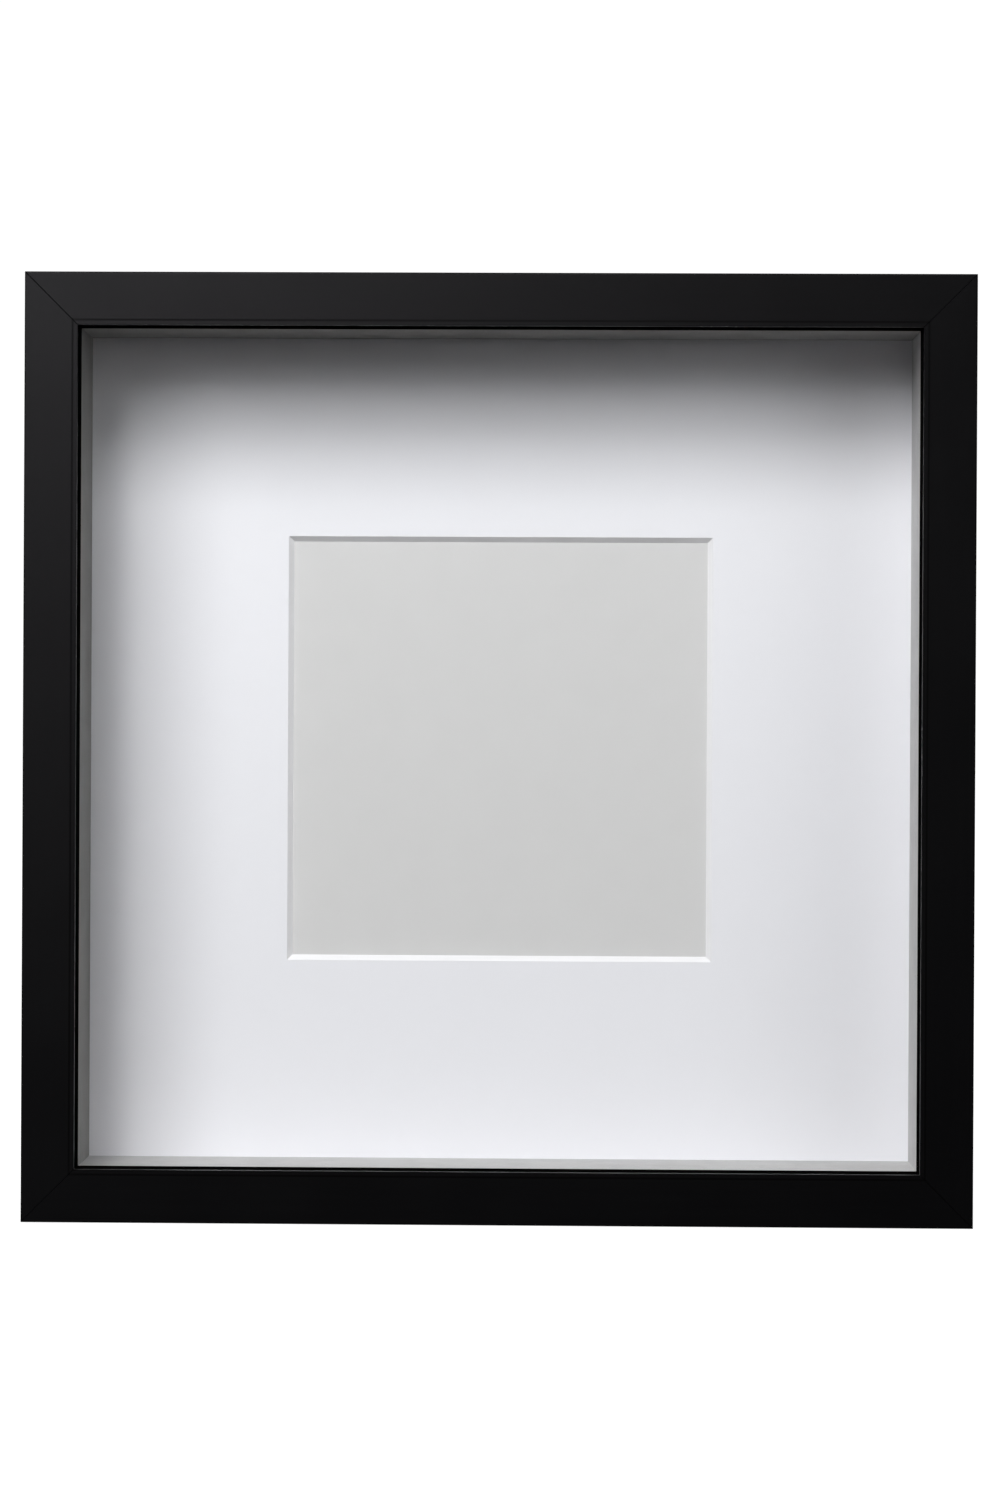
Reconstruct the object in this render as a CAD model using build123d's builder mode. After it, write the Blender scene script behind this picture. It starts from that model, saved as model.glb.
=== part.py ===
from build123d import *
import os

# Deep box picture frame. Four mitred rails carry, from front to back: a glazing sheet, four spacer
# strips, a window mat, a picture sheet and a backing board. Eight turn buttons screwed to the rails
# keep the board in, and a ring hanger is riveted to the board at its top.
# X runs across the frame, Y from its front to its back and Z up. The origin is the centre of the
# bottom face. Left and right are as seen from the front. All sizes are in millimetres.

# Rails
frame_width = 250.0          # outside, along X
frame_height = 250.0         # outside, along Z
frame_depth = 45.0           # front face to the rear land
face_width = 14.0            # width of the front face of a rail
wall = 9.0                   # rail thickness behind the lip
lip_thickness = 6.5          # front face to the glazing seat
sight_edge_radius = 1.0      # rounded arris round the sight opening
outer_edge_radius = 0.5      # eased outer edges, front and back
lip_back_radius = 0.3        # eased back edge of the lip
mitre_ease = 0.12            # depth of the fine groove along each mitre on the front face

# What lies in the rebate
fit_clearance = 0.25         # each side, between a panel and the rebate
glazing_thickness = 2.0
spacer_thickness = 2.0
mat_thickness = 1.4
window_width = 115.0         # mat window, at the back of the mat
window_height = 115.0
window_bevel = 45.0          # degrees, opening towards the front
sheet_thickness = 0.25
sheet_margin = 0.5           # picture sheet inside the mat's edge, each side
board_thickness = 2.5
board_recess = 0.2           # backing board below the rear land
panel_corner_radius = 0.5

# Corner nails: thin V-shaped plates driven in from the back, across each mitre
nail_wing = 3.6              # apex to wing tip
nail_flange = 1.0            # turned-in tip of a wing
nail_plate = 0.6             # plate thickness
nail_height = 10.0
nail_stack = 2               # nails driven one over the other in each corner
nail_gap = 0.1               # between stacked nails, and below the rear land

# Turn buttons and their screws
button_spacing = 120.0       # between the two buttons of one rail
button_thickness = 1.0
button_lift = 0.2            # height of the pressed collar that bears on the rear land
button_land_margin = 0.6     # land left bare on each side of a button turned along its rail
button_reach = 11.0          # pivot to the centre of the rounded tip
button_tip_radius = 3.0
button_edge_radius = 0.25    # outer edge of the plate, rounded by stamping
collar_radius = 2.7
pip_radius = 1.1             # pressed pip near the tip, for a fingertip
pip_height = 0.5
pip_edge_radius = 0.4
screw_radius = 1.3
screw_length = 12.0          # below the head
screw_tip_length = 2.5
screw_tip_radius = 0.13
screw_head_radius = 2.8
screw_head_height = 1.5
screw_head_edge_radius = 0.65
recess_length = 3.0          # arms of the cross recess
recess_width = 0.6
recess_depth = 0.9
pivot_clearance = 0.05       # radial, button on its screw
head_clearance = 0.05        # button to the underside of the screw head
pilot_clearance = 0.02       # radial, screw in its pilot hole
pilot_extra = 1.0            # pilot hole deeper than the screw

# Ring hanger
hanger_drop = 32.0           # frame's top to the ring's pivot axis
strap_thickness = 0.8
strap_width = 11.0
strap_length = 14.5          # pivot axis to the rounded end
strap_end_radius = 5.0
eye_wrap = 290.0             # degrees of the rolled eye
ring_wire_radius = 1.0
ring_half_width = 7.3        # to the wire's centre line
ring_length = 18.0           # pivot axis to the wire's centre line at the bow
ring_corner_radius = 1.5     # centre line
eye_clearance = 0.08         # radial, ring in its eye
rivet_radius = 1.4
rivet_offsets = (5.6, 10.6)  # from the pivot axis
rivet_head_radius = 2.3
rivet_head_height = 0.9
rivet_flare_radius = 2.2
rivet_flare_depth = 0.8
rivet_clearance = 0.05       # radial, in the strap and the board

# Worked-out places along Y
front = -frame_depth / 2
land = frame_depth / 2
glazing_back = front + lip_thickness + glazing_thickness
board_back = land - board_recess
board_front = board_back - board_thickness
sheet_front = board_front - sheet_thickness
mat_front = sheet_front - mat_thickness

# Worked-out sizes of the rebate and of a panel that fits it
mid_height = frame_height / 2
panel_width = frame_width - 2 * wall - 2 * fit_clearance
panel_height = frame_height - 2 * wall - 2 * fit_clearance

# Worked-out sizes of the fastenings
button_pivot_radius = wall / 2 - button_land_margin
screw_head_seat = button_lift + button_thickness + head_clearance
screw_shank_length = screw_length - screw_tip_length
pilot_depth = screw_length - screw_head_seat + pilot_extra
wing_end = nail_wing - nail_plate / 2
eye_inner = ring_wire_radius + eye_clearance
eye_outer = eye_inner + strap_thickness
bow_drop = ring_length - ring_half_width
bar_half = ring_half_width - ring_corner_radius

UP = Vector(0, 0, 1)
RIGHT = Vector(1, 0, 0)
BACK = Vector(0, 1, 0)

# Each side of the frame: middle of its outer edge, direction to the frame's middle, outside length
sides = {
    "bottom": (Vector(0, 0, 0), UP, frame_width),
    "top": (Vector(0, 0, frame_height), -UP, frame_width),
    "left": (Vector(-frame_width / 2, 0, mid_height), RIGHT, frame_height),
    "right": (Vector(frame_width / 2, 0, mid_height), -RIGHT, frame_height),
}


def facing_front(y):
    """The upright plane at depth y, centred in the frame; extruding from it goes to the front."""
    return Plane(origin=(0, y, mid_height), x_dir=RIGHT, z_dir=-BACK)


def along_side(side):
    """Direction along a side: to the right on top and bottom, up on left and right."""
    return RIGHT if side in ("top", "bottom") else UP


def pivot_planes(side):
    """The planes on the rear land at a side's two button pivots; X points into the frame."""
    edge, inward, _ = sides[side]
    planes = []
    for way in (-1, 1):
        place = edge + inward * (wall / 2) + BACK * land + along_side(side) * (way * button_spacing / 2)
        planes.append(Plane(origin=place, x_dir=inward, z_dir=BACK))
    return planes


def hanger_plane(drop=0.0, rise=0.0):
    """A plane on the back of the board below the ring's pivot axis, or raised off it; Y points up."""
    place = (0, board_back + rise, frame_height - hanger_drop - drop)
    return Plane(origin=place, x_dir=-RIGHT, z_dir=BACK)


# Corner nails, in pairs one over the other; the wings run along the two rails of a corner
with BuildPart() as corner_nails:
    for x_way in (-1, 1):
        for z_way in (-1, 1):
            apex_x = x_way * (frame_width / 2 - wall / 2)
            apex_z = z_way * (frame_height / 2 - wall / 2)
            for level in range(nail_stack):
                nail_back = land - nail_gap - level * (nail_height + nail_gap)
                with BuildSketch(facing_front(nail_back)):
                    with Locations((apex_x, apex_z)):
                        with Locations((-x_way * wing_end / 2, 0)):
                            Rectangle(wing_end + nail_plate, nail_plate)
                        with Locations((0, -z_way * wing_end / 2)):
                            Rectangle(nail_plate, wing_end + nail_plate)
                        with Locations((-x_way * wing_end, -z_way * nail_flange / 2)):
                            Rectangle(nail_plate, nail_flange)
                        with Locations((-x_way * nail_flange / 2, -z_way * wing_end)):
                            Rectangle(nail_flange, nail_plate)
                extrude(amount=nail_height)
corner_nails.part.label = "corner_nails"

# Cutter for the fine V groove along each mitre on the front face
with BuildPart() as mitre_grooves:
    for x_way in (-1, 1):
        for z_way in (-1, 1):
            corner = Vector(x_way * frame_width / 2, front, mid_height + z_way * frame_height / 2)
            with BuildSketch(Plane(origin=corner, x_dir=BACK, z_dir=(-x_way, 0, -z_way))):
                RegularPolygon(mitre_ease, 4)
            extrude(amount=face_width * 2**0.5)

# Rails: an L section run along each side and cut at 45 degrees at both ends
rails = {}
for side, (edge, inward, length) in sides.items():
    section = Plane(origin=edge, x_dir=inward, z_dir=inward.cross(BACK))
    seat = front + lip_thickness
    with BuildPart() as rail:
        with BuildSketch(section):
            with BuildLine():
                Polyline(
                    (0, front), (face_width, front), (face_width, seat), (wall, seat),
                    (wall, land), (0, land), close=True,
                )
            make_face()
            outer_corners = vertices().group_by(Axis.X)[0]
            lip_corners = vertices().group_by(Axis.X)[-1].sort_by(Axis.Y)
            fillet(outer_corners, outer_edge_radius)
            fillet(lip_corners[0], sight_edge_radius)
            fillet(lip_corners[1], lip_back_radius)
        extrude(amount=length / 2, both=True)
        for way in (-1, 1):
            run = along_side(side) * way
            mitre = Plane(origin=edge + run * (length / 2), z_dir=run + inward)
            split(bisect_by=mitre, keep=Keep.BOTTOM)
        with Locations(*pivot_planes(side)):
            Hole(screw_radius + pilot_clearance, pilot_depth)
        add(corner_nails.part, mode=Mode.SUBTRACT)
        add(mitre_grooves.part, mode=Mode.SUBTRACT)
    rail.part.label = f"frame_rail_{side}"
    rails[side] = rail

# Glazing, against the back of the lip
with BuildPart() as glazing:
    with BuildSketch(facing_front(glazing_back)):
        RectangleRounded(panel_width, panel_height, panel_corner_radius)
    extrude(amount=glazing_thickness)
glazing.part.label = "glazing_sheet"

# Spacer strips on edge round the rebate: top and bottom run full width, the sides fit between them
spacers = {}
for side, (edge, inward, length) in sides.items():
    upright = side in ("left", "right")
    strip_length = panel_height - 2 * spacer_thickness if upright else panel_width
    rail_inside = edge + inward * (wall + fit_clearance)
    section = Plane(origin=rail_inside, x_dir=inward, z_dir=inward.cross(BACK))
    with BuildPart() as spacer:
        with BuildSketch(section):
            with Locations((spacer_thickness / 2, (glazing_back + mat_front) / 2)):
                Rectangle(spacer_thickness, mat_front - glazing_back)
        extrude(amount=strip_length / 2, both=True)
    spacer.part.label = f"spacer_{side}"
    spacers[side] = spacer

# Window mat, with a bevel-cut window that opens towards the front
with BuildPart() as mat:
    with BuildSketch(facing_front(sheet_front)):
        RectangleRounded(panel_width, panel_height, panel_corner_radius)
    extrude(amount=mat_thickness)
    with BuildSketch(facing_front(sheet_front)):
        Rectangle(window_width, window_height)
    extrude(amount=mat_thickness, taper=-window_bevel, mode=Mode.SUBTRACT)
mat.part.label = "window_mat"

# Picture sheet, between the mat and the backing board
with BuildPart() as sheet:
    with BuildSketch(facing_front(board_front)):
        Rectangle(panel_width - 2 * sheet_margin, panel_height - 2 * sheet_margin)
    extrude(amount=sheet_thickness)
sheet.part.label = "picture_sheet"

# Rivets: domed head on the strap, shank through strap and board, end flared flush with the board
with BuildPart() as rivets:
    for offset in rivet_offsets:
        spot = hanger_plane(offset)
        with BuildSketch(Plane(origin=spot.origin, x_dir=RIGHT, z_dir=RIGHT.cross(BACK))):
            with BuildLine():
                dome_top = (0, strap_thickness + rivet_head_height)
                dome = TangentArc(dome_top, (rivet_head_radius, strap_thickness), tangent=(1, 0))
                Polyline(
                    dome @ 1,
                    (rivet_radius, strap_thickness),
                    (rivet_radius, rivet_flare_depth - board_thickness),
                    (rivet_flare_radius, -board_thickness),
                    (0, -board_thickness),
                    dome_top,
                )
            make_face()
        revolve(axis=Axis(spot.origin, BACK))
rivets.part.label = "hanger_rivets"

# Backing board, with a flared hole for each rivet
with BuildPart() as board:
    with BuildSketch(facing_front(board_back)):
        RectangleRounded(panel_width, panel_height, panel_corner_radius)
    extrude(amount=board_thickness)
    for offset in rivet_offsets:
        flare_mouth = hanger_plane(offset, -board_thickness).origin
        with Locations(Plane(origin=flare_mouth, x_dir=RIGHT, z_dir=-BACK)):
            Hole(rivet_radius + rivet_clearance, board_thickness)
            Cone(
                rivet_radius + rivet_clearance,
                rivet_flare_radius + rivet_clearance,
                rivet_flare_depth,
                align=(Align.CENTER, Align.CENTER, Align.MAX),
                mode=Mode.SUBTRACT,
            )
board.part.label = "backing_board"

# Turn buttons: a tapered plate on a pressed collar, pointing into the frame when closed
button_names = {
    "bottom": ("bottom_left", "bottom_right"),
    "top": ("top_left", "top_right"),
    "left": ("left_lower", "left_upper"),
    "right": ("right_lower", "right_upper"),
}
buttons = {}
for side, names in button_names.items():
    for pivot, name in zip(pivot_planes(side), names):
        with BuildPart() as button:
            with BuildSketch(pivot.offset(button_lift)):
                Circle(button_pivot_radius)
                with Locations((button_reach, 0)):
                    Circle(button_tip_radius)
                make_hull()
            extrude(amount=button_thickness)
            fillet(edges().group_by(Axis.Y)[-1], button_edge_radius)
            with BuildSketch(pivot):
                Circle(collar_radius)
            extrude(amount=button_lift)
            with BuildSketch(pivot.offset(button_lift + button_thickness)):
                with Locations((button_reach, 0)):
                    Circle(pip_radius)
            extrude(amount=pip_height)
            fillet(edges().group_by(Axis.Y)[-1], pip_edge_radius)
            with BuildSketch(pivot):
                Circle(screw_radius + pivot_clearance)
            extrude(amount=button_lift + button_thickness, mode=Mode.SUBTRACT)
        button.part.label = f"turn_button_{name}"
        buttons[name] = button

# Screws: pan head with a cross recess, plain shank, pointed tip
with BuildPart() as screws:
    for side in sides:
        for pivot in pivot_planes(side):
            with Locations(pivot.offset(screw_head_seat)):
                Cylinder(screw_radius, screw_shank_length, align=(Align.CENTER, Align.CENTER, Align.MAX))
                Cylinder(screw_head_radius, screw_head_height, align=(Align.CENTER, Align.CENTER, Align.MIN))
            with Locations(pivot.offset(screw_head_seat - screw_shank_length)):
                Cone(
                    screw_tip_radius,
                    screw_radius,
                    screw_tip_length,
                    align=(Align.CENTER, Align.CENTER, Align.MAX),
                )
    head_rims = edges().filter_by(GeomType.CIRCLE).group_by(Axis.Y)[-1]
    fillet(head_rims, screw_head_edge_radius)
    for side in sides:
        for pivot in pivot_planes(side):
            with BuildSketch(pivot.offset(screw_head_seat + screw_head_height)):
                Rectangle(recess_length, recess_width)
                Rectangle(recess_width, recess_length)
            extrude(amount=-recess_depth, mode=Mode.SUBTRACT)
screws.part.label = "turn_button_screws"

# Hanger strap: a plate riveted to the board, its upper end rolled into an eye for the ring
with BuildPart() as strap:
    with BuildSketch(Plane(origin=hanger_plane().origin, x_dir=UP, z_dir=UP.cross(BACK))):
        with BuildLine():
            outer = CenterArc((0, eye_outer), eye_outer, -90, eye_wrap)
            inner = CenterArc((0, eye_outer), eye_inner, -90, eye_wrap)
            Line(outer @ 1, inner @ 1)
            Polyline(inner @ 0, (-strap_length, strap_thickness), (-strap_length, 0), outer @ 0)
        make_face()
    extrude(amount=strap_width / 2, both=True)
    lower_corners = edges().filter_by(Axis.Y).group_by(Axis.Z)[0]
    fillet(lower_corners, strap_end_radius)
    with Locations(*[hanger_plane(offset, strap_thickness) for offset in rivet_offsets]):
        Hole(rivet_radius + rivet_clearance, strap_thickness)
strap.part.label = "hanger_strap"

# Hanger ring: a D of round wire, its straight bar in the eye, hanging down at rest
with BuildPart() as ring:
    with BuildLine(hanger_plane(rise=eye_outer)) as ring_path:
        bar = Line((-bar_half, 0), (bar_half, 0))
        near_corner = CenterArc((bar_half, -ring_corner_radius), ring_corner_radius, 90, -90)
        Line(near_corner @ 1, (ring_half_width, -bow_drop))
        bow = CenterArc((0, -bow_drop), ring_half_width, 0, -180)
        Line(bow @ 1, (-ring_half_width, -ring_corner_radius))
        CenterArc((-bar_half, -ring_corner_radius), ring_corner_radius, 180, -90)
    with BuildSketch(Plane(origin=bar @ 0, z_dir=bar % 0)):
        Circle(ring_wire_radius)
    sweep(path=ring_path.wires()[0])
ring.part.label = "hanger_ring"

os.makedirs("parts", exist_ok=True)
pieces = [glazing, mat, sheet, board, corner_nails, screws, rivets, strap, ring]
for group in (rails, spacers, buttons):
    pieces.extend(group.values())
for piece in pieces:
    export_step(piece.part, f"parts/{piece.part.label}.step")
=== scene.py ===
import math

import bmesh
import bpy
from mathutils import Matrix, Vector


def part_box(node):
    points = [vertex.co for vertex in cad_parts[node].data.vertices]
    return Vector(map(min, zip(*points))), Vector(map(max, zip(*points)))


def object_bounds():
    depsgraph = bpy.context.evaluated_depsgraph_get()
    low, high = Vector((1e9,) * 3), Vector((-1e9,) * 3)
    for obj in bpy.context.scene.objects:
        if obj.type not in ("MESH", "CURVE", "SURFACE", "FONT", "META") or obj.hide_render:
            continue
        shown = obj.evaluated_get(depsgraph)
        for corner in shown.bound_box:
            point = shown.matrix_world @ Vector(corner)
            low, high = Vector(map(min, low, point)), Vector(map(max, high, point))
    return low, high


# The looks of a deep box picture frame. Everything is in metres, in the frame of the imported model:
# X across the frame, Y from its front to its back, Z up.
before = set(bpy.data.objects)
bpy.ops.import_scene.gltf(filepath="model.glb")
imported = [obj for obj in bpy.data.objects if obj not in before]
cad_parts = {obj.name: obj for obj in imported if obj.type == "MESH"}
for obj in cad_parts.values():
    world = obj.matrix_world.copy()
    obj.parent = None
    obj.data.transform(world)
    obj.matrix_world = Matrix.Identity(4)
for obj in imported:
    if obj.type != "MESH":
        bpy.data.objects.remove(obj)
cad_low, cad_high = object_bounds()
MIDDLE = (cad_low + cad_high) / 2
MM = 0.001
HALF_WIDTH = cad_high.x - MIDDLE.x
RAIL_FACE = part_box("frame_rail_bottom")[1].z - cad_low.z
SIGHT_HALF = HALF_WIDTH - RAIL_FACE
LIP_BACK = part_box("glazing_sheet")[0].y

# Where one finish of a rail gives way to another
ARRIS = 1.0 * MM             # depth of the rounded arris of the sight edge
SHADE_LINE_INSET = 1.3 * MM      # faint line of painted shade on the foil, just outside the sight edge
FOIL_TURN_IN = 1.8 * MM      # strip of foil turned in over the rear land

# Camera, straight in front of the frame and very slightly off its middle
CAMERA_DISTANCE = 0.674      # from the front face
CAMERA_RIGHT = 0.0084
CAMERA_RISE = 0.0011
CAMERA_YAW = math.radians(0.67)
CAMERA_PITCH = math.radians(-0.11)
CAMERA_ROLL = math.radians(-0.29)
CAMERA_LENS = 61.7           # mm
CAMERA_SENSOR = 36.0         # mm

# Studio
FLOOR_GAP = 0.2 * MM         # floor below the frame's underside
BACKDROP_RADIUS = 12.0
LIGHT_DISTANCE = 1.0         # from the frame's middle
FRONT_AIR = 0.06             # strength of the light from all round, in front of the frame
REAR_AIR = 0.5               # and behind it
REAR_AIR_FULL = math.radians(30)  # angle behind level at which it has its full strength
WHITE_GLOW = 1.05            # brightness of the backdrop, and of the floor far out
FLOOR_GLOW = 0.92            # and of the floor round the frame
FLOOR_NEAR = 0.5             # the floor's glow changes from one to the other between these distances
FLOOR_FAR = 1.5
WHITE = (1, 1, 1, 1)

FLOOR_DULL = (0.24, 0.24, 0.24, 1)
FLOOR_PALE = (0.27, 0.27, 0.27, 1)

# What the finish of each piece is made of
PALE_MAT = (0.848, 0.843, 0.888, 1)
MAT_MOTTLE = (0.80, 0.795, 0.83, 1)
MAT_CORE = (0.84, 0.83, 0.85, 1)
SPACER_LIGHT = (0.53, 0.525, 0.525, 1)          # the card's own tone, on the right and bottom spacers
SPACER_LIGHT_MOTTLE = (0.49, 0.485, 0.485, 1)
SPACER_PAINTED_SHADE = (0.28, 0.275, 0.27, 1)            # the same card darkened with painted shade, left and top
SPACER_PAINTED_SHADE_MOTTLE = (0.255, 0.25, 0.245, 1)
PRINT_GREY = (0.662, 0.654, 0.660, 1)
PRINT_MOTTLE = (0.652, 0.644, 0.650, 1)
FOIL_BLACK = (0.0010, 0.0010, 0.0012, 1)
FOIL_SHEEN = (0.0020, 0.0020, 0.0022, 1)
FOIL_TINT = (0.97, 0.95, 1.0, 1)
LIP_PAINT = (0.0016, 0.0016, 0.0016, 1)
GLASS_TINT = (0.985, 0.99, 0.988, 1)
GLASS_SHADOW = (0.97, 0.975, 0.972, 1)
FIBRE_TAN = (0.34, 0.22, 0.12, 1)
FIBRE_DARK = (0.20, 0.12, 0.06, 1)
HARDBOARD = (0.27, 0.165, 0.092, 1)
HARDBOARD_DARK = (0.13, 0.072, 0.038, 1)
ZINC = (0.62, 0.63, 0.64, 1)
ZINC_WARM = (0.55, 0.54, 0.50, 1)
NICKEL = (0.66, 0.64, 0.60, 1)
NICKEL_DULL = (0.48, 0.47, 0.45, 1)
NAIL_STEEL = (0.42, 0.43, 0.45, 1)
NAIL_DULL = (0.25, 0.25, 0.26, 1)
CARD_TOOTH = 0.01 * MM       # depth of the tooth
PAPER_TOOTH = 0.003 * MM
FOIL_SPECULAR = 0.11         # how strongly each reflects, where 0.5 is ordinary varnish
MAT_SPECULAR = 0.25
CARD_SPECULAR = 0.2
GLASS_IOR = 1.5

# How a metal's marks are drawn out: a small share makes them long that way
TUMBLED = (1, 1, 1)
FINE_TUMBLED = (0.3, 0.3, 0.3)
DRAWN_DEEP = (1, 0.1, 1)
DRAWN_UP = (1, 1, 0.1)
PRESSED_UP = (1, 1, 0.15)


class Tree:
    """A material's node tree, with short calls for the nodes that the finishes share."""

    def __init__(self, name):
        self.material = bpy.data.materials.new(name)
        self.material.use_nodes = True
        self.nodes = self.material.node_tree.nodes
        self.links = self.material.node_tree.links
        self.nodes.clear()

    def add(self, kind, settings=None, **inputs):
        """A node with its settings; an input is a socket to link or a value to set."""
        node = self.nodes.new(kind)
        for key, value in (settings or {}).items():
            setattr(node, key, value)
        for key, value in inputs.items():
            self.put(node.inputs[key.replace("_", " ")], value)
        return node

    def put(self, socket, value):
        if isinstance(value, bpy.types.NodeSocket):
            self.links.new(value, socket)
        else:
            socket.default_value = value

    def place(self):
        """Position on the object at rest, in metres."""
        return self.add("ShaderNodeTexCoord").outputs["Object"]

    def parts_of(self, vector):
        return self.add("ShaderNodeSeparateXYZ", Vector=vector).outputs

    def stretched(self, stretch):
        """The position with each axis scaled, for grain that runs one way."""
        mapping = self.add("ShaderNodeMapping", Vector=self.place(), Scale=stretch)
        return mapping.outputs[0]

    def noise(self, size, detail=3.0, rough=0.5, vector=None):
        """Noise from 0 to 1 whose blotches are about size across, in metres."""
        vector = vector or self.place()
        node = self.add("ShaderNodeTexNoise", Vector=vector, Scale=1 / size, Detail=detail, Roughness=rough)
        return node.outputs[0]

    def between(self, value, low, high, first=0.0, last=1.0):
        """value from low to high mapped to first to last, and held outside that."""
        settings = {"clamp": True, "interpolation_type": "SMOOTHSTEP"}
        node = self.add("ShaderNodeMapRange", settings)
        for index, what in enumerate((value, low, high, first, last)):
            self.put(node.inputs[index], what)
        return node.outputs[0]

    def math(self, operation, *values):
        node = self.add("ShaderNodeMath", {"operation": operation})
        for index, value in enumerate(values):
            self.put(node.inputs[index], value)
        return node.outputs[0]

    def blend(self, share, first, second):
        """A colour between two."""
        node = self.add("ShaderNodeMix", {"data_type": "RGBA"})
        self.put(node.inputs[0], share)
        self.put(node.inputs[6], first)
        self.put(node.inputs[7], second)
        return node.outputs[2]

    def bump(self, height, depth, under=None):
        """Normals for a height from 0 to 1 over depth metres, laid on another bump if given."""
        node = self.add("ShaderNodeBump", Height=height, Distance=depth)
        if under is not None:
            self.put(node.inputs["Normal"], under)
        return node.outputs[0]

    def mixed(self, share, first, second):
        """A shader between two."""
        mix = self.add("ShaderNodeMixShader", Fac=share)
        self.links.new(first.outputs[0], mix.inputs[1])
        self.links.new(second.outputs[0], mix.inputs[2])
        return mix

    def finish(self, shader):
        output = self.add("ShaderNodeOutputMaterial")
        self.links.new(shader.outputs[0], output.inputs["Surface"])
        return self.material


def foil_material(name, along):
    """Black satin foil with a fine embossed grain along the rail. It ends on the rear land, where the
    fibreboard is bare. The wall of the sight edge is dull black, and so is a faint line of painted shade
    beside it."""
    tree = Tree(name)
    stretch = (0.03, 1, 1) if along == "X" else (1, 1, 0.03)
    grain = tree.noise(0.35 * MM, detail=4, vector=tree.stretched(stretch))
    streak = tree.noise(1.6 * MM, detail=2, vector=tree.stretched(stretch))
    stipple = tree.noise(0.12 * MM, detail=2)
    cloud = tree.noise(28 * MM, detail=2)
    scuff = tree.between(tree.noise(6 * MM, detail=5, rough=0.7), 0.62, 0.8)

    foil_colour = tree.blend(tree.math("MULTIPLY", grain, streak), FOIL_BLACK, FOIL_SHEEN)
    even_rough = tree.between(cloud, 0.3, 0.7, 0.42, 0.46)
    foil_rough = tree.math("ADD", even_rough, tree.math("MULTIPLY", scuff, 0.05))
    foil_normal = tree.bump(stipple, 0.004 * MM, tree.bump(grain, 0.006 * MM))
    foil = tree.add(
        "ShaderNodeBsdfPrincipled",
        Base_Color=foil_colour,
        Roughness=foil_rough,
        Normal=foil_normal,
    )
    foil.inputs["Specular IOR Level"].default_value = FOIL_SPECULAR
    foil.inputs["Specular Tint"].default_value = FOIL_TINT

    fibre = tree.noise(0.5 * MM, detail=5, rough=0.65)
    fleck = tree.noise(2.5 * MM, detail=3)
    board_colour = tree.blend(tree.math("MULTIPLY", fibre, fleck), FIBRE_TAN, FIBRE_DARK)
    board = tree.add(
        "ShaderNodeBsdfPrincipled",
        Base_Color=board_colour,
        Roughness=tree.between(fibre, 0.2, 0.8, 0.78, 0.95),
        Normal=tree.bump(fibre, 0.03 * MM),
    )

    x, y, z = tree.parts_of(tree.place())
    from_middle_x = tree.math("ABSOLUTE", tree.math("SUBTRACT", x, MIDDLE.x))
    from_middle_z = tree.math("ABSOLUTE", tree.math("SUBTRACT", z, MIDDLE.z))
    reach = tree.math("MAXIMUM", from_middle_x, from_middle_z)
    ragged = tree.math("MULTIPLY", tree.math("SUBTRACT", fleck, 0.5), 0.6 * MM)
    inside_foil_end = tree.math("LESS_THAN", tree.math("ADD", reach, ragged), HALF_WIDTH - FOIL_TURN_IN)
    behind_lip = tree.math("GREATER_THAN", y, LIP_BACK - 0.05 * MM)
    bare = tree.math("MULTIPLY", inside_foil_end, behind_lip)

    paint = tree.add(
        "ShaderNodeBsdfPrincipled",
        Base_Color=LIP_PAINT,
        Roughness=0.75,
        Normal=tree.bump(fibre, 0.01 * MM),
    )
    paint.inputs["Specular IOR Level"].default_value = 0.0
    on_wall = tree.math("LESS_THAN", reach, SIGHT_HALF + 0.1 * MM)
    arris_back = cad_low.y + ARRIS
    below_arris = tree.between(y, arris_back - 0.2 * MM, arris_back + 0.2 * MM)
    # A line of painted shade just outside the sight edge: the foil's sheen is dulled there to darken it.
    from_shade_line = tree.math("ABSOLUTE", tree.math("SUBTRACT", reach, SIGHT_HALF + SHADE_LINE_INSET))
    painted_shade_line = tree.between(from_shade_line, 0.1 * MM, 0.4 * MM, 0.6, 0.0)
    painted = tree.math("MAXIMUM", tree.math("MULTIPLY", on_wall, below_arris), painted_shade_line)
    return tree.finish(tree.mixed(bare, tree.mixed(painted, foil, paint), board))


def glass_material():
    """Clear picture glass. Light from the lamps passes straight through it to what lies behind."""
    tree = Tree("clear_glass")
    smear = tree.noise(45 * MM, detail=3)
    glass = tree.add(
        "ShaderNodeBsdfPrincipled",
        Base_Color=GLASS_TINT,
        Roughness=tree.between(smear, 0.35, 0.75, 0.0, 0.02),
        IOR=GLASS_IOR,
        Transmission_Weight=1.0,
    )
    clear = tree.add("ShaderNodeBsdfTransparent", Color=GLASS_SHADOW)
    path = tree.add("ShaderNodeLightPath").outputs
    for_scattered = tree.mixed(path["Is Diffuse Ray"], glass, clear)
    return tree.finish(tree.mixed(path["Is Shadow Ray"], for_scattered, clear))


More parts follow.
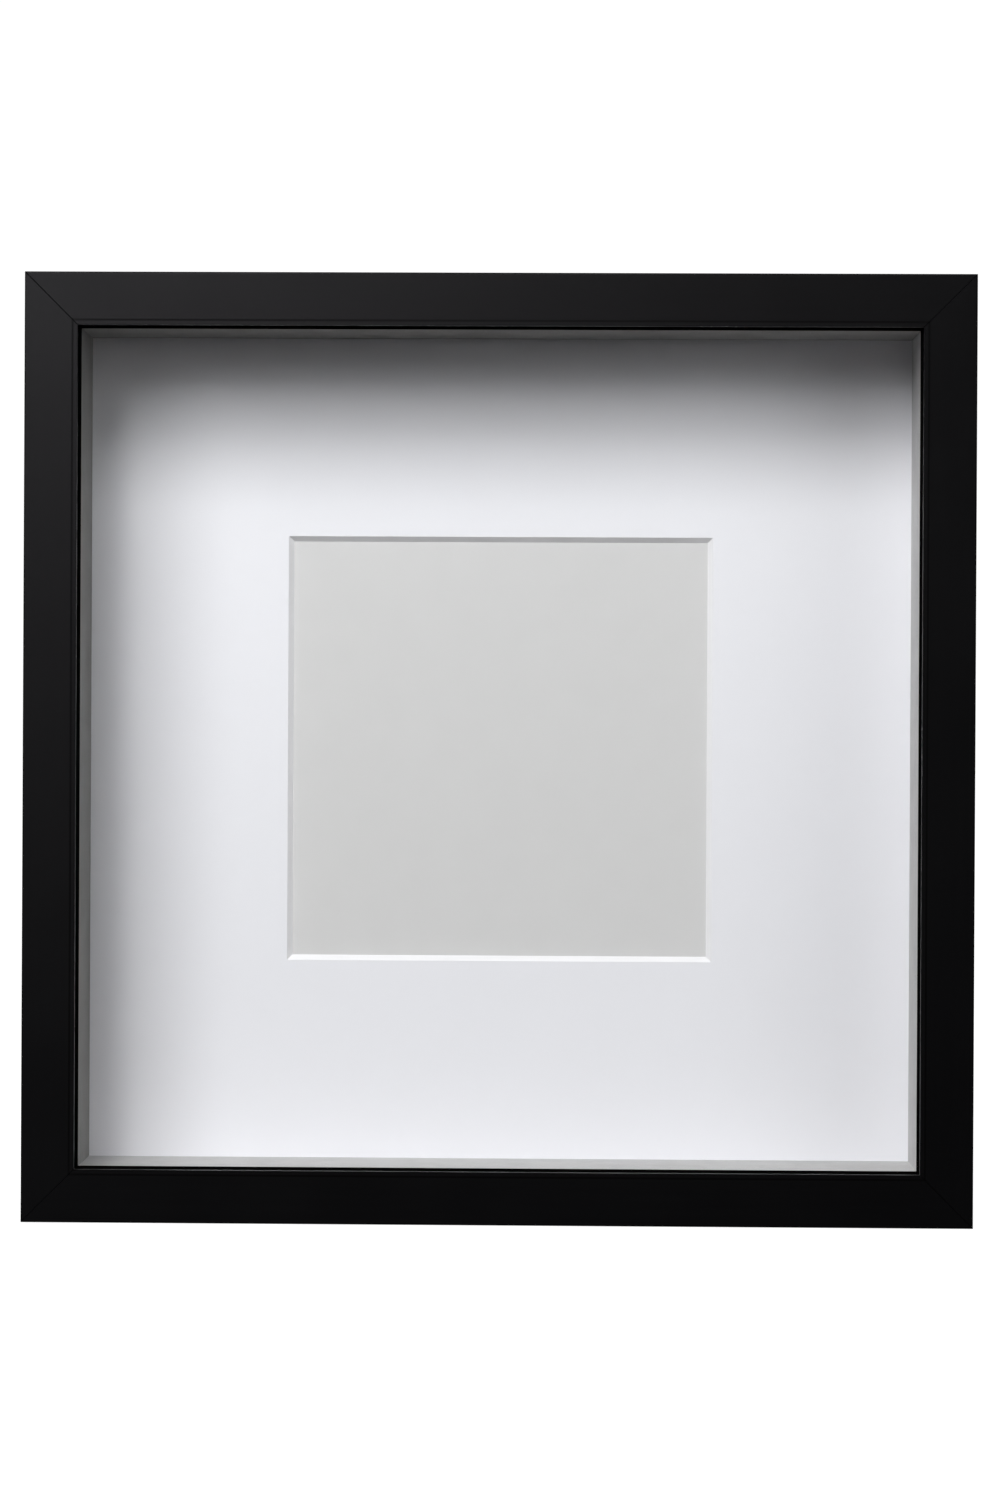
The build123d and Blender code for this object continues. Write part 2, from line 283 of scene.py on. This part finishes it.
def mat_material():
    """White mat board: faint paper tooth on its face, and a plainer core where the bevel cuts it."""
    tree = Tree("mat_board")
    tooth = tree.noise(0.3 * MM, detail=5, rough=0.6)
    mottle = tree.noise(9 * MM, detail=3)
    face = tree.blend(tree.between(mottle, 0.3, 0.7, 0, 0.06), PALE_MAT, MAT_MOTTLE)
    normal = tree.add("ShaderNodeTexCoord").outputs["Normal"]
    facing = tree.math("ABSOLUTE", tree.parts_of(normal)[1])
    cut = tree.between(facing, 0.8, 0.95, 1, 0)
    plies = tree.noise(0.15 * MM, detail=2, vector=tree.stretched((0.1, 1, 0.1)))
    core = tree.blend(tree.math("MULTIPLY", plies, 0.3), MAT_CORE, PALE_MAT)
    board = tree.add(
        "ShaderNodeBsdfPrincipled",
        Base_Color=tree.blend(cut, face, core),
        Roughness=tree.between(tooth, 0.3, 0.7, 0.82, 0.92),
        Normal=tree.bump(tooth, 0.012 * MM),
    )
    board.inputs["Specular IOR Level"].default_value = MAT_SPECULAR
    return tree.finish(board)


def card_material(name, colour, shade, tooth_depth):
    """Plain card or paper: fine tooth, faint mottling."""
    tree = Tree(name)
    tooth = tree.noise(0.25 * MM, detail=4, rough=0.6)
    mottle = tree.noise(7 * MM, detail=4)
    card = tree.add(
        "ShaderNodeBsdfPrincipled",
        Base_Color=tree.blend(tree.between(mottle, 0.3, 0.7, 0, 1), colour, shade),
        Roughness=tree.between(tooth, 0.3, 0.7, 0.8, 0.92),
        Normal=tree.bump(tooth, tooth_depth),
    )
    card.inputs["Specular IOR Level"].default_value = CARD_SPECULAR
    return tree.finish(card)


def hardboard_material():
    """Brown hardboard: a hard smooth face of pressed fibres, with darker flecks."""
    tree = Tree("hardboard")
    fibre = tree.noise(0.5 * MM, detail=6, rough=0.7)
    fleck = tree.between(tree.noise(1.4 * MM, detail=4, rough=0.65), 0.52, 0.68)
    cloud = tree.noise(40 * MM, detail=3)
    brown = tree.blend(tree.between(cloud, 0.3, 0.7, 0.0, 0.16), HARDBOARD, HARDBOARD_DARK)
    speckled = tree.blend(tree.math("MULTIPLY", fleck, 0.55), brown, HARDBOARD_DARK)
    board = tree.add(
        "ShaderNodeBsdfPrincipled",
        Base_Color=tree.blend(tree.between(fibre, 0.55, 0.8, 0, 0.5), speckled, FIBRE_TAN),
        Roughness=tree.between(fibre, 0.3, 0.7, 0.42, 0.62),
        Normal=tree.bump(fibre, 0.015 * MM),
    )
    return tree.finish(board)


def metal_material(name, bright, dull, rough, brush):
    """Plated steel: fine tumbling marks, a cloudy plating and slightly dull patches."""
    tree = Tree(name)
    cloud = tree.noise(3.5 * MM, detail=3)
    marks = tree.noise(0.12 * MM, detail=3, vector=tree.stretched(brush))
    patch = tree.between(tree.noise(1.2 * MM, detail=5, rough=0.7), 0.5, 0.75)
    even_rough = tree.between(marks, 0.3, 0.7, rough, rough + 0.1)
    metal = tree.add(
        "ShaderNodeBsdfPrincipled",
        Base_Color=tree.blend(tree.math("MULTIPLY", cloud, tree.math("ADD", patch, 0.4)), bright, dull),
        Metallic=1.0,
        Roughness=tree.math("ADD", even_rough, tree.math("MULTIPLY", patch, 0.1)),
        Normal=tree.bump(marks, 0.002 * MM),
    )
    return tree.finish(metal)


def dress(materials_by_node):
    """Puts each material on the CAD nodes whose names start with its key. A later key wins."""
    for prefix, material in materials_by_node.items():
        found = [node for name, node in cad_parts.items() if name.startswith(prefix)]
        for node in found:
            node.data.materials.clear()
            node.data.materials.append(material)


def softbox(name, azimuth, elevation, wide, high, radiance, mirrored=True):
    """A rectangular soft light facing the frame's middle. Azimuth 0 is in front of the frame and
    grows to its right; wide and high are the azimuths and elevations it covers. All in degrees.
    A light that isn't mirrored shows in no reflection."""
    turn, lift = math.radians(azimuth), math.radians(elevation)
    away = Vector((math.sin(turn) * math.cos(lift), -math.cos(turn) * math.cos(lift), math.sin(lift)))
    data = bpy.data.lights.new(name, "AREA")
    data.shape = "RECTANGLE"
    data.size = 2 * LIGHT_DISTANCE * math.tan(math.radians(wide / 2)) * math.cos(lift)
    data.size_y = 2 * LIGHT_DISTANCE * math.tan(math.radians(high / 2))
    data.energy = radiance * math.pi * data.size * data.size_y
    light = bpy.data.objects.new(name, data)
    light.location = MIDDLE + away * LIGHT_DISTANCE
    light.rotation_mode = "QUATERNION"
    light.rotation_quaternion = away.to_track_quat("Z", "Y")
    light.visible_camera = False
    light.visible_glossy = mirrored
    light.visible_transmission = mirrored
    bpy.context.scene.collection.objects.link(light)


def hidden_from_object(stage_piece):
    """A stage piece that the camera sees and that sends no light onto the object."""
    stage_piece.visible_diffuse = False
    stage_piece.visible_glossy = False
    stage_piece.visible_transmission = False
    stage_piece.visible_shadow = False
    bpy.context.scene.collection.objects.link(stage_piece)


def make_floor():
    """A plain pale floor that keeps a faint shadow of the frame."""
    mesh = bpy.data.meshes.new("studio_floor")
    shape = bmesh.new()
    bmesh.ops.create_circle(shape, cap_ends=True, segments=96, radius=BACKDROP_RADIUS)
    shape.to_mesh(mesh)
    shape.free()
    tree = Tree("studio_floor")
    paper = tree.noise(1.5 * MM, detail=3)
    lit = tree.add("ShaderNodeBsdfDiffuse", Color=tree.blend(paper, FLOOR_DULL, FLOOR_PALE))
    away = tree.add("ShaderNodeVectorMath", {"operation": "LENGTH"}, Vector=tree.place()).outputs["Value"]
    strength = tree.between(away, FLOOR_NEAR, FLOOR_FAR, FLOOR_GLOW, WHITE_GLOW)
    glow = tree.add("ShaderNodeEmission", Color=WHITE, Strength=strength)
    both = tree.add("ShaderNodeAddShader")
    tree.links.new(lit.outputs[0], both.inputs[0])
    tree.links.new(glow.outputs[0], both.inputs[1])
    mesh.materials.append(tree.finish(both))
    floor = bpy.data.objects.new("studio_floor", mesh)
    floor.location = (MIDDLE.x, MIDDLE.y, cad_low.z - FLOOR_GAP)
    hidden_from_object(floor)


def make_backdrop():
    """A white dome round the whole studio."""
    mesh = bpy.data.meshes.new("studio_backdrop")
    shape = bmesh.new()
    bmesh.ops.create_uvsphere(shape, u_segments=48, v_segments=24, radius=BACKDROP_RADIUS)
    shape.to_mesh(mesh)
    shape.free()
    tree = Tree("studio_backdrop")
    mesh.materials.append(tree.finish(tree.add("ShaderNodeEmission", Color=WHITE, Strength=WHITE_GLOW)))
    hidden_from_object(bpy.data.objects.new("studio_backdrop", mesh))


def light_studio():
    """A soft key from the upper left in three panels, brightest in its middle one, a low fill from
    the right and two soft lights behind. The key stays out of what the glass mirrors to the camera."""
    softbox("key_left", azimuth=-34, elevation=30, wide=24, high=40, radiance=6.6)
    softbox("key_middle", azimuth=-16, elevation=33.5, wide=12, high=33, radiance=14.0)
    softbox("key_right", azimuth=-1, elevation=42, wide=18, high=18, radiance=10.5)
    softbox("fill", azimuth=42, elevation=13, wide=30, high=22, radiance=2.9, mirrored=False)
    softbox("rear_right", azimuth=140, elevation=35, wide=40, high=40, radiance=2.0)
    softbox("rear_left", azimuth=-125, elevation=30, wide=40, high=40, radiance=1.6)


def fill_air():
    """Light from all round: almost none in front of the frame, and soft and even behind it."""
    world = bpy.data.worlds.new("studio_air")
    world.use_nodes = True
    nodes, links = world.node_tree.nodes, world.node_tree.links
    direction = nodes.new("ShaderNodeTexCoord")
    parts = nodes.new("ShaderNodeSeparateXYZ")
    rearward = nodes.new("ShaderNodeMapRange")
    rearward.interpolation_type = "SMOOTHSTEP"
    rearward.inputs["From Min"].default_value = 0.0
    rearward.inputs["From Max"].default_value = math.sin(REAR_AIR_FULL)
    rearward.inputs["To Min"].default_value = FRONT_AIR
    rearward.inputs["To Max"].default_value = REAR_AIR
    links.new(direction.outputs["Generated"], parts.inputs[0])
    links.new(parts.outputs["Y"], rearward.inputs["Value"])
    links.new(rearward.outputs[0], nodes["Background"].inputs["Strength"])
    nodes["Background"].inputs["Color"].default_value = WHITE
    bpy.context.scene.world = world


def make_camera():
    data = bpy.data.cameras.new("camera")
    data.lens = CAMERA_LENS
    data.sensor_width = CAMERA_SENSOR
    data.clip_start = 10 * MM
    data.clip_end = 2 * BACKDROP_RADIUS
    camera = bpy.data.objects.new("camera", data)
    turn = (
        Matrix.Rotation(CAMERA_YAW, 4, "Z")
        @ Matrix.Rotation(math.pi / 2 + CAMERA_PITCH, 4, "X")
        @ Matrix.Rotation(-CAMERA_ROLL, 4, "Z")
    )
    place = Vector((MIDDLE.x + CAMERA_RIGHT, cad_low.y - CAMERA_DISTANCE, MIDDLE.z + CAMERA_RISE))
    camera.matrix_world = Matrix.Translation(place) @ turn
    bpy.context.scene.collection.objects.link(camera)
    bpy.context.scene.camera = camera


card_light = card_material("spacer_card_light", SPACER_LIGHT, SPACER_LIGHT_MOTTLE, CARD_TOOTH)
# The left and top spacers get the same card darkened with painted shade.
card_painted_shade = card_material("spacer_card_painted_shade", SPACER_PAINTED_SHADE, SPACER_PAINTED_SHADE_MOTTLE, CARD_TOOTH)
foil_across = foil_material("black_foil_across", "X")
foil_upright = foil_material("black_foil_upright", "Z")
dress({
    "frame_rail_bottom": foil_across,
    "frame_rail_top": foil_across,
    "frame_rail_left": foil_upright,
    "frame_rail_right": foil_upright,
    "corner_nails": metal_material("nail_steel", NAIL_STEEL, NAIL_DULL, 0.38, DRAWN_DEEP),
    "glazing_sheet": glass_material(),
    "spacer_bottom": card_light,
    "spacer_right": card_light,
    "spacer_top": card_painted_shade,
    "spacer_left": card_painted_shade,
    "window_mat": mat_material(),
    "picture_sheet": card_material("picture_paper", PRINT_GREY, PRINT_MOTTLE, PAPER_TOOTH),
    "backing_board": hardboard_material(),
    "turn_button_": metal_material("button_zinc", ZINC, ZINC_WARM, 0.28, PRESSED_UP),
    "turn_button_screws": metal_material("screw_zinc", ZINC_WARM, NICKEL_DULL, 0.3, TUMBLED),
    "hanger_strap": metal_material("hanger_plate", NICKEL, NICKEL_DULL, 0.26, DRAWN_UP),
    "hanger_ring": metal_material("hanger_wire", NICKEL, NICKEL_DULL, 0.2, FINE_TUMBLED),
    "hanger_rivets": metal_material("rivet_steel", NICKEL, NICKEL_DULL, 0.24, TUMBLED),
})
make_floor()
make_backdrop()
light_studio()
fill_air()
make_camera()

scene = bpy.context.scene
scene.view_settings.view_transform = "Standard"
